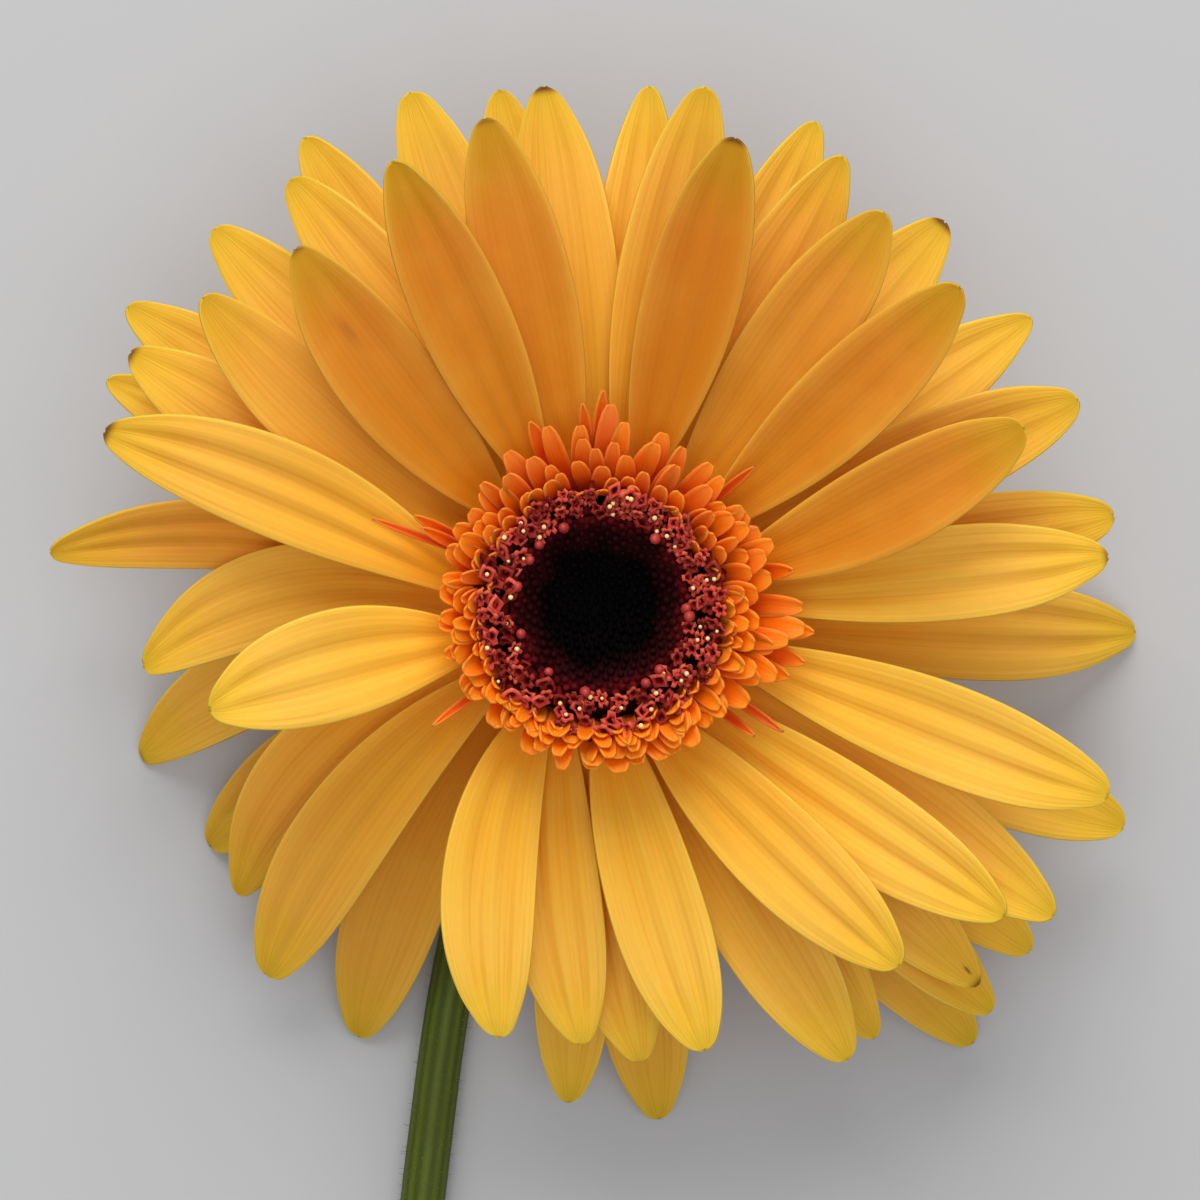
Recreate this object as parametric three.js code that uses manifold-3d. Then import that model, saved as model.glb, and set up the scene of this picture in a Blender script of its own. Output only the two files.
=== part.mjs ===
// A cut gerbera lying face up on a table: the head rests on the tips of its reflexed petals,
// and the stem bends over at the neck and lies along the table. Millimetres and degrees, +Z up.
// Until the last step the head's axis is x = 0, y = 0 and the table is z = 0.
import * as THREE from "three";
import { mergeVertices } from "three/addons/utils/BufferGeometryUtils.js";
import Module from "manifold-3d";

// Driving dimensions.
const CLEARANCE = 0.35; // gap left between organs that touch in life
const PETAL_REACH = 53; // a typical petal's tip, from the head's axis
const STEM_RUN = 272; // from the head's axis to the cut end, along the table
const NECK_Z = 12.4; // where the stem swells into the receptacle
const STEM_R = [2.35, 2.45, 2.6, 2.9, 3.2]; // from the neck to the cut, evenly spaced
const NECK_R = STEM_R[0] + 0.55;
const RECEPTACLE_R = 10; // the swollen end of the stem, which carries every floret
const CUP_DEPTH = 6.4; // from the neck up to the receptacle's rim
const RIM_LOW = NECK_Z + CUP_DEPTH;

const LOWEST_CLAW_Z = RIM_LOW + 1.7;
const RANK_RISE = 1.25; // height between the claws of one rank of petals and the next
const TOP_RANK = 6;
const RIM_TOP = LOWEST_CLAW_Z + TOP_RANK * RANK_RISE + 1;
const RECEPTACLE_DISH = 1.2; // how far the receptacle's top is sunk at its middle

const PETAL_THICK = 0.5;
const PETAL_EDGE = 0.3; // thickness at a petal's edges
const TIP_THIN = 0.6; // a petal thins to this share of its thickness at the tip
const PETAL_FOLD = 0.9; // how far a petal's edges stand above its midrib, where it is widest
const CLAW_SHARE = 0.2; // width of a petal's narrow claw, as a share of its widest
const TIP_SHARE = 0.09; // width of its blunt tip
const REST_Z = (PETAL_THICK * TIP_THIN) / 2; // height of the midrib at a tip that rests on the table
const PETAL_STATIONS = [0, 0.1, 0.22, 0.36, 0.5, 0.64, 0.78, 0.89, 0.96, 1];
const PETAL_STRIPS = 2; // strips across a petal, on each face

const STEM_SIDES = 12;
const STEM_STEPS = 34;
const CUT_SLANT = 35; // the cut end's slope away from square

// Rings of florets fan outwards as they rise: their inner and outer radii, as shares of the receptacle's, at
// their roots and at FAN_RISE above them, with the rise of their tips.
const FAN_RISE = 7.65;
const BUDS = { root: [0, 0.68], fan: [0, 0.98], rise: 5.45, sunk: 2.9 };
const OPEN_RING = { count: 26, root: [0.72, 0.82], fan: [1.02, 1.25], rise: 6.85, notch: 0.22 };
const INNER_TRANS = { count: 26, root: [0.86, 0.93], fan: [1.29, 1.48], rise: 7.65, notch: 0.3 };
const OUTER_TRANS = { count: 30, root: [0.97, 1.04], fan: [1.52, 1.74], rise: 7.05, notch: 0.36 };
const STEPS_PER_FLORET = 4;

// Two rings of bracts on the cup under the head, between two angles of its curve.
const BRACT_THICK = 0.6;
const BRACT_SPREAD = 0.9; // how far their tips stand out
const INNER_BRACTS = { count: 22, from: 38, to: 92, offset: 1.4 * CLEARANCE, notch: 0.4 };
const OUTER_BRACTS = { count: 18, from: 40, to: 78, offset: BRACT_THICK + 3 * CLEARANCE, notch: 0.5 };

const COLOURS = {
  petal: 0xf3aa26,
  petalBack: 0xeaa01f,
  trans: 0xe0692a,
  open: 0xb5343a,
  buds: 0x16060a,
  bract: 0x6f8a35,
  stem: 0x5f7a22,
};

// The ray petals, counted round the head from +X towards +Y. tip and base are the azimuths of the tip and
// the claw. reach is the tip's distance from the axis, bow is how far the middle bends to the petal's left,
// and width is its widest: all three are hundredths of PETAL_REACH. rank is the claw's place in the stack,
// lift is the claw's slope, curl is how much steeper the tip points than the claw, or "rests" where the tip
// bends down to the table, and roll raises the left edge.
//   tip   reach base  bow   width rank lift curl roll
const PETALS = [
  [5.2, 96.6, 2, 0, 17.7, 5, 9, -9, 0],
  [9.7, 99.6, 9, 0, 17, 3, 4, -5, 4],
  [23, 85.3, 12.5, -1.9, 17.5, 6, 21, -5, -5],
  [23.5, 98.1, 28, 0, 18.1, 4, 12, -6, 5],
  [33.7, 99.1, 34, 0, 17.7, 2, 5, -5, 0],
  [41.3, 89.1, 35, -0.9, 17.5, 6, 20, -4, 0],
  [47.8, 99.2, 47, 0, 18.5, 1, 1, -3, 0],
  [53.7, 90.4, 52, 0, 18.1, 5, 17, -2, 3],
  [61.3, 96.2, 61, 0, 17.4, 4, 12, -5, 4],
  [65.9, 101.3, 66, 0, 16.2, 2, 5, -6, 0],
  [74, 90, 71, 0, 18.1, 6, 20, -3, 0],
  [78.4, 99.6, 79, 0.8, 17, 4, 11, -4, 0],
  [84.3, 99.4, 84, 0, 14.7, 2, 7, -5, 0],
  [96, 98.9, 90.5, 0, 19.2, 3, 8, -3, 0],
  [101, 101.1, 100, 0, 16.2, 1, 1, -3, 0],
  [103.3, 93, 102.5, 0, 17.4, 5, 18, -3, 0],
  [110.3, 104.7, 110, 0, 17.7, 2, 4, -5, 0],
  [115, 90.8, 117, 0, 17.7, 6, 20, -3, 0],
  [122.2, 106.8, 121, 0, 16.6, 1, 0, -4, 0],
  [126.2, 100, 120, -0.9, 16.6, 3, 7, -4, 0],
  [130.5, 87.2, 137, 2.3, 18.3, 5, 20, -4, 0],
  [136, 103.4, 137, 0, 17.7, 2, 3, -4, 0],
  [141.8, 94.5, 150, 3.4, 17.4, 4, 13, -4, 0],
  [147.8, 108.1, 148, 0, 17.7, 1, -1, -4, 0],
  [151.5, 101.5, 157, 1.5, 17.7, 3, 6, -5, 0],
  [155.2, 104.5, 156, 0, 14.7, 2, 1, -8, 0],
  [160.8, 98.7, 178, -3.6, 18.1, 6, 11, -8, 0],
  [174.6, 106.4, 181, -8.7, 14, 2.6, 1, -8, -18],
  [188, 88.5, 186, -11.3, 17.4, 4, 2, -14, 0],
  [195.2, 75.8, 199, -3, 20.4, 6, 20, -14, 0],
  [198.6, 97, 191, -7.9, 17, 1, -13, "rests", 0],
  [212, 91.9, 207, -2.8, 17, 1, -15, "rests", 0],
  [218.7, 91.7, 206, -9.1, 18.1, 3, -11, -24, 0],
  [228.5, 98.1, 214, -5.7, 18.5, 4, -9, -23, 0],
  [241, 99.2, 228, -5.1, 18.5, 2, -14, "rests", 0],
  [257.5, 84.2, 238, -5.7, 18.1, 6, 6, -12, 0],
  [266.3, 98.5, 261, 0, 15.5, 2, -6, -26, 0],
  [268, 84.2, 246, -3, 17.4, 4, 2, -10, 0],
  [276.5, 103.8, 273, 0, 18.5, 0.7, -10, "rests", 0],
  [274.8, 88.5, 264, -1.9, 17.4, 3, -1, -9, 0],
  [283.3, 87, 273, -1.1, 18.1, 5, 7, -12, 0],
  [298.8, 99.8, 289, -0.8, 18.5, 3, -1, -7, 0],
  [302.2, 100.4, 298, 0, 16.6, 1, -5, -12, 0],
  [310.5, 115.5, 305, 0, 18.5, 0, -10, "rests", 0],
  [313.7, 110.4, 311, 0, 17, 2, -5, -12, 0],
  [315, 103.8, 312, 0, 17, 3, -2, -10, 0],
  [310, 88.5, 292, -0.9, 18.1, 6, 9, -10, 0],
  [321.2, 108.7, 322, 0, 16.6, 1, -6, -15, 0],
  [322.7, 97, 311, -1.1, 18.1, 5, 5, -7, 0],
  [325.3, 105.3, 326, 0.8, 19.2, 4, 2, -7, 0],
  [337, 111.7, 332, 0, 18.1, 2, -5, -16, 0],
  [339.3, 103, 340, 0, 18.5, 5, 7, -9, 0],
  [356.8, 107.5, 350, 0, 19.6, 2, -6, "rests", 0],
];

// The stem's centreline from the head's axis: x, y and height down the bend of the neck, with the height as a
// share of NECK_Z, then x and the share of STEM_RUN where it lies on the table.
const NECK_PATH = [
  [0, 0, 1.29],
  [-0.9, -1.6, 1],
  [-3.6, -6.6, 0.645],
  [-7.6, -14.5, 0.37],
  [-11.4, -24, 0.242],
];
const TABLE_PATH = [
  [-14.9, 0.132],
  [-18.6, 0.228],
  [-22.4, 0.368],
  [-25.4, 0.533],
  [-27, 0.699],
  [-26.4, 0.864],
  [-24, 1],
];

const radians = THREE.MathUtils.degToRad;
const manifold = await Module();
manifold.setup();

// The position at `share` of the way along evenly spaced values.
function along(values, share) {
  const at = share * (values.length - 1);
  const low = Math.min(Math.floor(at), values.length - 2);
  return THREE.MathUtils.lerp(values[low], values[low + 1], at - low);
}

// A closed skin over a row of loops that each hold the same even number of points. The two ends are
// capped by a ladder of quads, unless `round` joins the last loop to the first.
function skin(loops, round = false) {
  const size = loops[0].length;
  const triangles = [];
  const quad = (a, b, c, d) => triangles.push(a, b, c, a, c, d);
  const last = round ? loops.length : loops.length - 1;
  for (let i = 0; i < last; i++) {
    const here = i * size;
    const next = ((i + 1) % loops.length) * size;
    for (let k = 0; k < size; k++) {
      const k2 = (k + 1) % size;
      quad(here + k, next + k, next + k2, here + k2);
    }
  }
  if (!round) {
    const end = (loops.length - 1) * size;
    for (let k = 0; k < size / 2 - 1; k++) {
      quad(k, k + 1, size - 2 - k, size - 1 - k);
      quad(end + size - 1 - k, end + size - 2 - k, end + k + 1, end + k);
    }
  }
  const geometry = new THREE.BufferGeometry().setFromPoints(loops.flat());
  return geometry.setIndex(triangles);
}

// A geometry as a solid that can be joined or cut, and the other way round.
function toSolid(geometry) {
  const bare = new THREE.BufferGeometry().setAttribute("position", geometry.getAttribute("position"));
  if (geometry.index) bare.setIndex(geometry.index);
  const merged = mergeVertices(bare, 1e-4);
  const vertProperties = merged.attributes.position.array;
  return new manifold.Manifold(
    new manifold.Mesh({ numProp: 3, vertProperties, triVerts: new Uint32Array(merged.index.array) }),
  );
}

function toGeometry(solid) {
  const { vertProperties, triVerts } = solid.getMesh();
  const geometry = new THREE.BufferGeometry();
  geometry.setAttribute("position", new THREE.BufferAttribute(new Float32Array(vertProperties), 3));
  return geometry.setIndex(new THREE.BufferAttribute(new Uint32Array(triVerts), 1));
}

const head = new THREE.Group();

function addMesh(name, geometry, colour, roughness) {
  geometry.computeVertexNormals();
  const material = new THREE.MeshStandardMaterial({ color: colour, roughness, metalness: 0 });
  const mesh = new THREE.Mesh(geometry, material);
  mesh.name = name;
  head.add(mesh);
}

// Half of a petal's width at a share of its length: a narrow claw, an ellipse-like blade, a blunt tip.
function halfWidth(width, share) {
  const blade = Math.pow(Math.sin(Math.PI * Math.pow(share, 1.32)), 0.62);
  return (width / 2) * Math.max(blade || 0, share < 0.5 ? CLAW_SHARE : TIP_SHARE);
}

function petal([tip, reachShare, base, bowShare, widthShare, rank, lift, curl, roll]) {
  const [reach, bow, width] = [reachShare, bowShare, widthShare].map((share) => (share * PETAL_REACH) / 100);
  const clawZ = LOWEST_CLAW_Z + rank * RANK_RISE;
  // A claw that leaves the receptacle at a slant starts further out, so that its corner stays clear.
  const slant = Math.min(Math.abs(tip - base) * 0.03 + Math.abs(bow) * 0.09, 0.9);
  const footR = RECEPTACLE_R + CLEARANCE + (slant * CLAW_SHARE * width) / 2;
  const foot = new THREE.Vector2(footR * Math.cos(radians(base)), footR * Math.sin(radians(base)));
  const end = new THREE.Vector2(reach * Math.cos(radians(tip)), reach * Math.sin(radians(tip)));
  const chord = end.clone().sub(foot);
  const left = new THREE.Vector2(-chord.y, chord.x).normalize();
  const bend = foot.clone().add(end).multiplyScalar(0.5).addScaledVector(left, 2 * bow);
  const plan = new THREE.QuadraticBezierCurve(foot, bend, end);
  const run = chord.length();
  const startSlope = Math.tan(radians(lift));
  const endSlope =
    curl === "rests" ? (-2 * (clawZ - REST_Z)) / run - startSlope : Math.tan(radians(lift + curl));

  const loops = PETAL_STATIONS.map((share) => {
    const at = plan.getPoint(share);
    const going = plan.getTangent(share);
    const slope = THREE.MathUtils.lerp(startSlope, endSlope, share);
    const z = clawZ + run * share * (startSlope + ((endSlope - startSlope) * share) / 2);
    const forward = new THREE.Vector3(going.x, going.y, slope).normalize();
    const side = new THREE.Vector3(-going.y, going.x, 0);
    side.applyAxisAngle(forward, radians(roll) * THREE.MathUtils.smoothstep(share, 0, 1));
    const up = forward.clone().cross(side);
    const half = halfWidth(width, share);
    const fold = PETAL_FOLD * ((2 * half) / width);
    const thin = THREE.MathUtils.lerp(1, TIP_THIN, share);
    const point = (across, face) =>
      new THREE.Vector3(at.x, at.y, z)
        .addScaledVector(side, across * half)
        .addScaledVector(
          up,
          fold * across * across +
            (face * thin * THREE.MathUtils.lerp(PETAL_THICK, PETAL_EDGE, Math.abs(across))) / 2,
        );
    const loop = [];
    for (let k = 0; k <= PETAL_STRIPS; k++) loop.push(point((2 * k) / PETAL_STRIPS - 1, 1));
    for (let k = PETAL_STRIPS; k >= 0; k--) loop.push(point((2 * k) / PETAL_STRIPS - 1, -1));
    return loop;
  });
  return skin(loops);
}

// A ring of florets or bracts joined at their roots. Its cross-section runs up an outer line and down an
// inner one, both given as functions of the share of a floret's length, and is shorter between florets.
function crown(count, innerLine, outerLine, notch) {
  const steps = count * STEPS_PER_FLORET;
  const loops = [];
  for (let i = 0; i < steps; i++) {
    const turn = (2 * Math.PI * i) / steps;
    const length = 1 - notch * Math.pow(Math.abs(Math.cos((turn * count) / 2)), 1.5);
    const ring = ([r, z]) => new THREE.Vector3(r * Math.cos(turn), r * Math.sin(turn), z);
    const shares = [0, 0.5, 1].map((share) => share * length);
    const outer = shares.map((share) => ring(outerLine(share)));
    const inner = shares.map((share) => ring(innerLine(share)));
    loops.push([...outer, ...inner.reverse()]);
  }
  return skin(loops, true);
}

// A line that fans outwards as it rises from the receptacle, from one share of its radius to another.
function fanLine(root, fan, rise) {
  return (share) => {
    const up = share * rise;
    return [RECEPTACLE_R * THREE.MathUtils.lerp(root, fan, up / FAN_RISE), RIM_TOP + CLEARANCE + up];
  };
}

function floretRing({ count, root, fan, rise, notch }) {
  return crown(count, fanLine(root[0], fan[0], rise), fanLine(root[1], fan[1], rise), notch);
}

// The unopened buds: a plug that fans outwards and is sunk at its middle.
function budPlug() {
  const side = fanLine(BUDS.root[1], BUDS.fan[1], BUDS.rise);
  const [[rootR, bottom], [edgeR, top]] = [side(0), side(1)];
  const points = [
    new THREE.Vector2(0, bottom),
    new THREE.Vector2(rootR, bottom),
    new THREE.Vector2(edgeR, top),
  ];
  for (const share of [0.8, 0.55, 0.3, 0]) {
    points.push(new THREE.Vector2(edgeR * share, top - BUDS.sunk * (1 - share ** 2)));
  }
  return turned(points, 28);
}

// A lathe about +Z, from points of radius and height that run anticlockwise.
function turned(points, segments) {
  return new THREE.LatheGeometry(points, segments).rotateX(Math.PI / 2);
}

// A point on the receptacle's underside, a quarter ellipse from the neck at 0 to the rim at 90 degrees, moved
// outwards square to the surface.
function cupPoint(angle, offset) {
  const [wide, deep] = [RECEPTACLE_R - NECK_R, RIM_LOW - NECK_Z];
  const [sine, cosine] = [Math.sin(radians(angle)), Math.cos(radians(angle))];
  const out = new THREE.Vector2(deep * sine, -wide * cosine).setLength(offset);
  return [NECK_R + wide * sine + out.x, RIM_LOW - deep * cosine + out.y];
}

// Bracts follow the cup, and their tips stand out a little below the petals.
function bractRing({ count, from, to, offset, notch }) {
  const line = (extra) => (share) => {
    const [r, z] = cupPoint(THREE.MathUtils.lerp(from, to, share), offset + extra);
    return [r + BRACT_SPREAD * share ** 3, z];
  };
  return crown(count, line(0), line(BRACT_THICK), notch);
}

// The stem's centreline and radius at a share of its length. On the table it lies on its own radius.
function stemCurve() {
  const onTable = TABLE_PATH.map(([x, share]) => new THREE.Vector3(x, -share * STEM_RUN, along(STEM_R, share)));
  const neck = NECK_PATH.map(([x, y, share]) => new THREE.Vector3(x, y, share * NECK_Z));
  return new THREE.CatmullRomCurve3([...neck, ...onTable], false, "centripetal");
}

function stemTube() {
  const curve = stemCurve();
  const loops = [];
  for (let i = 0; i <= STEM_STEPS; i++) {
    // Steps are short in the bend of the neck and longer along the table.
    const share = Math.pow(i / STEM_STEPS, 1.7);
    const at = curve.getPointAt(share);
    const forward = curve.getTangentAt(share);
    const side = new THREE.Vector3(0, 0, 1).cross(forward);
    if (side.length() < 1e-3) side.set(1, 0, 0);
    side.normalize();
    const up = forward.clone().cross(side);
    const radius = along(STEM_R, share);
    if (share > 0.25) at.z = radius;
    const slant = i === STEM_STEPS ? Math.tan(radians(CUT_SLANT)) : 0;
    const loop = [];
    for (let k = 0; k < STEM_SIDES; k++) {
      const turn = (2 * Math.PI * (k + 0.5)) / STEM_SIDES;
      const rise = radius * Math.cos(turn);
      loop.push(
        at.clone()
          .addScaledVector(side, radius * Math.sin(turn))
          .addScaledVector(up, rise)
          .addScaledVector(forward, -slant * rise),
      );
    }
    loops.push(loop);
  }
  return skin(loops);
}

// The stem and the receptacle grow as one piece: a dished drum on a cup that narrows to the neck.
function stem() {
  const points = [new THREE.Vector2(0, NECK_Z)];
  for (const share of [0, 0.25, 0.5, 0.75, 1]) {
    points.push(new THREE.Vector2(...cupPoint(90 * share, 0)));
  }
  points.push(new THREE.Vector2(RECEPTACLE_R, RIM_TOP));
  points.push(new THREE.Vector2(RECEPTACLE_R * 0.66, RIM_TOP - CLEARANCE));
  points.push(new THREE.Vector2(0, RIM_TOP - RECEPTACLE_DISH));
  return toGeometry(toSolid(turned(points, 36)).add(toSolid(stemTube())));
}

addMesh("stem", stem(), COLOURS.stem, 0.6);
addMesh("bracts_inner", bractRing(INNER_BRACTS), COLOURS.bract, 0.7);
addMesh("bracts_outer", bractRing(OUTER_BRACTS), COLOURS.bract, 0.7);
PETALS.forEach((row, i) => {
  const rank = row[5];
  const name = "ray_petal_" + String(i + 1).padStart(2, "0");
  addMesh(name, petal(row), rank > 3 ? COLOURS.petal : COLOURS.petalBack, 0.55);
});
addMesh("trans_florets_outer", floretRing(OUTER_TRANS), COLOURS.trans, 0.5);
addMesh("trans_florets_inner", floretRing(INNER_TRANS), COLOURS.trans, 0.5);
addMesh("disc_florets_open", floretRing(OPEN_RING), COLOURS.open, 0.5);
addMesh("disc_florets_buds", budPlug(), COLOURS.buds, 0.6);

// The part's origin is the middle of its footprint, on the table.
const box = new THREE.Box3().setFromObject(head, true);
const middle = box.getCenter(new THREE.Vector3());
head.position.set(-middle.x, -middle.y, -box.min.z);

const gerbera = new THREE.Group();
gerbera.add(head);
export default gerbera;
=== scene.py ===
"""A cut gerbera lying face up: golden ray petals round a ring of orange and coral florets and a dark eye,
with its green stem bent over at the neck and lying on a pale table."""
import math
import random

import bmesh
import bpy
from mathutils import Matrix, Vector
from mathutils.bvhtree import BVHTree


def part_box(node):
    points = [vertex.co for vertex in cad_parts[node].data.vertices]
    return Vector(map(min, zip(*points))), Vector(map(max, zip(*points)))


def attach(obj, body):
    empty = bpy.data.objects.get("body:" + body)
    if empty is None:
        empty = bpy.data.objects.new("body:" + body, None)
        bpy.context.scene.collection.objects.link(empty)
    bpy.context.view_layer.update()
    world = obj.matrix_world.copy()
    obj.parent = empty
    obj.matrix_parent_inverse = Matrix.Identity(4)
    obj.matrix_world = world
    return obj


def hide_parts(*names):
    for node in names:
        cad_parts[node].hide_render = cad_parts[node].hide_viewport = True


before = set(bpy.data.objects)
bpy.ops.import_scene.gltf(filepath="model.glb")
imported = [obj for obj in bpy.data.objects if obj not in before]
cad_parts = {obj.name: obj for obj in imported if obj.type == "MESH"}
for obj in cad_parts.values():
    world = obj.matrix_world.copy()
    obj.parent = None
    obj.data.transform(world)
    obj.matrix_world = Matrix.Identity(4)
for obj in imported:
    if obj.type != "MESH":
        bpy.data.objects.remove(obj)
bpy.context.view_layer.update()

MM = 0.001
UP = Vector((0, 0, 1))
FULL_TURN = 2 * math.pi
NEARLY_FULL_TURN = 6.28
GOLDEN_TURN = math.radians(137.508)
JOIN_WITHIN = 0.001 * MM
WELL_CLEAR = 10 * MM
BATCH = 60

PETAL_WALL = 0.34 * MM
TRANS_WALL = 0.2 * MM
OPEN_WALL = 0.12 * MM
BRACT_WALL = 0.3 * MM


def box_of(node):
    return [Vector(corner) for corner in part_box(node)]


# The head's axis stands over the middle of the eye. FOOT is the height that the florets stand on, and FACE
# the height that the lamps aim at and the camera stands above.
eye_low, eye_high = box_of("disc_florets_buds")
EYE_REACH = (eye_high.x - eye_low.x) / 2
AXIS = Vector(((eye_low.x + eye_high.x) / 2, (eye_low.y + eye_high.y) / 2, 0))
FOOT = eye_low.z
FACE = FOOT - 1.3 * MM
PETALS = sorted(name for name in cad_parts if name.startswith("ray_petal_"))


# ---------------------------------------------------------------- small helpers

def smooth(low, high, value):
    share = min(max((value - low) / (high - low), 0), 1)
    return share * share * (3 - 2 * share)


def mix(a, b, share):
    return a + (b - a) * share


def reach_of(node):
    """How far a ring of florets or bracts reaches from the axis, and its lowest and highest points."""
    low, high = box_of(node)
    return (high.x - low.x + high.y - low.y) / 4, low.z, high.z


def polar(radius, azimuth, height):
    return AXIS + Vector((radius * math.cos(azimuth), radius * math.sin(azimuth), height))


def merged(node):
    """A copy of a solid piece with its corners joined."""
    solid = bmesh.new()
    solid.from_mesh(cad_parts[node].data)
    bmesh.ops.remove_doubles(solid, verts=solid.verts, dist=JOIN_WITHIN)
    return solid


def cut_through(solid, at, way):
    """The corners that a flat cut through a copy of a solid leaves."""
    copy = solid.copy()
    parts = copy.verts[:] + copy.edges[:] + copy.faces[:]
    cut = bmesh.ops.bisect_plane(copy, geom=parts, plane_co=at, plane_no=way)
    corners = [item.co.copy() for item in cut["geom_cut"] if isinstance(item, bmesh.types.BMVert)]
    copy.free()
    return corners


def side_and_lift(ahead):
    """The level way across a direction, and the way up from it."""
    side = UP.cross(ahead).normalized()
    return side, ahead.cross(side)


def extrude_ring(bm, ring):
    """Grows a new ring of corners from an open one."""
    edges = dict.fromkeys(edge for vert in ring for edge in vert.link_edges if edge.other_vert(vert) in ring)
    grown = bmesh.ops.extrude_edge_only(bm, edges=list(edges))["geom"]
    return [item for item in grown if isinstance(item, bmesh.types.BMVert)]


def spin_profile(bm, profile, steps):
    """A ring or a plug made by turning a line of (radius, height) points round the axis."""
    corners = [bm.verts.new(polar(radius, 0, height)) for radius, height in profile]
    edges = [bm.edges.new(pair) for pair in zip(corners, corners[1:])]
    bmesh.ops.spin(bm, geom=corners + edges, cent=AXIS, axis=UP, angle=FULL_TURN, steps=steps,
                   use_merge=True)
    bmesh.ops.remove_doubles(bm, verts=bm.verts, dist=JOIN_WITHIN)


def pour(into, part):
    """Adds one bmesh to another and empties it."""
    scratch = bpy.data.meshes.new("scratch")
    part.to_mesh(scratch)
    part.free()
    into.from_mesh(scratch)
    bpy.data.meshes.remove(scratch)


def bristle(into, foot, way, length, thick, thin):
    """A three-sided bristle that stands on its foot and narrows to its tip."""
    turn = way.to_track_quat("Z", "Y").to_matrix().to_4x4()
    place = Matrix.Translation(foot + way * length / 2) @ turn
    bmesh.ops.create_cone(into, cap_ends=True, segments=3, radius1=thick, radius2=thin, depth=length,
                          matrix=place)


def finish_piece(bm, name, materials, nodes, recalculate=False):
    """A bmesh made an object that rides on the flower and stands for its solid pieces."""
    if recalculate:
        bmesh.ops.recalc_face_normals(bm, faces=bm.faces)
    for face in bm.faces:
        face.smooth = True
    mesh = bpy.data.meshes.new(name)
    bm.to_mesh(mesh)
    bm.free()
    piece = bpy.data.objects.new(name, mesh)
    bpy.context.scene.collection.objects.link(piece)
    for material in materials:
        mesh.materials.append(material)
    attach(piece, "root")
    if nodes:
        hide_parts(*nodes)
    return piece


def thicken(piece, thickness):
    wall = piece.modifiers.new("thickness", "SOLIDIFY")
    wall.thickness = thickness
    wall.offset = 0
    wall.use_even_offset = False


# ---------------------------------------------------------------- paint

def paint(red, green, blue):
    """A colour from its 0 to 255 values, as the shaders take it."""
    def straight(value):
        value /= 255
        return value / 12.92 if value <= 0.04045 else ((value + 0.055) / 1.055) ** 2.4
    return (straight(red), straight(green), straight(blue), 1)


def add_node(tree, kind, **settings):
    made = tree.nodes.new(kind)
    for key, value in settings.items():
        setattr(made, key, value)
    return made


def ramp(tree, source, stops, interpolation="EASE"):
    """A colour ramp with (place, colour) stops."""
    made = add_node(tree, "ShaderNodeValToRGB")
    made.color_ramp.interpolation = interpolation
    bar = made.color_ramp.elements
    while len(bar) < len(stops):
        bar.new(0.5)
    for stop, (place, colour) in zip(bar, stops):
        stop.position = place
        stop.color = colour
    tree.links.new(source, made.inputs["Fac"])
    return made.outputs["Color"]


def maths(tree, operation, a, b=None, c=None):
    made = add_node(tree, "ShaderNodeMath", operation=operation)
    for socket, value in zip(made.inputs, (a, b, c)):
        if value is None:
            continue
        if isinstance(value, (int, float)):
            socket.default_value = value
        else:
            tree.links.new(value, socket)
    return made.outputs[0]


def blend_colours(tree, share, a, b, kind="MIX"):
    made = add_node(tree, "ShaderNodeMix", data_type="RGBA", blend_type=kind)
    for socket, value in ((made.inputs[0], share), (made.inputs[6], a), (made.inputs[7], b)):
        if isinstance(value, (int, float, tuple)):
            socket.default_value = value
        else:
            tree.links.new(value, socket)
    return made.outputs[2]


def new_group(name, inputs, outputs):
    group = bpy.data.node_groups.new(name, "ShaderNodeTree")
    for label, kind, value in inputs:
        socket = group.interface.new_socket(label, in_out="INPUT", socket_type=kind)
        if value is not None:
            socket.default_value = value
    for label, kind in outputs:
        group.interface.new_socket(label, in_out="OUTPUT", socket_type=kind)
    return group, add_node(group, "NodeGroupInput"), add_node(group, "NodeGroupOutput")


def place_group(tree, group, **values):
    made = add_node(tree, "ShaderNodeGroup", node_tree=group)
    for label, value in values.items():
        socket = made.inputs[label.replace("_", " ").title()]
        if isinstance(value, (int, float)):
            socket.default_value = value
        else:
            tree.links.new(value, socket)
    return made


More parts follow.
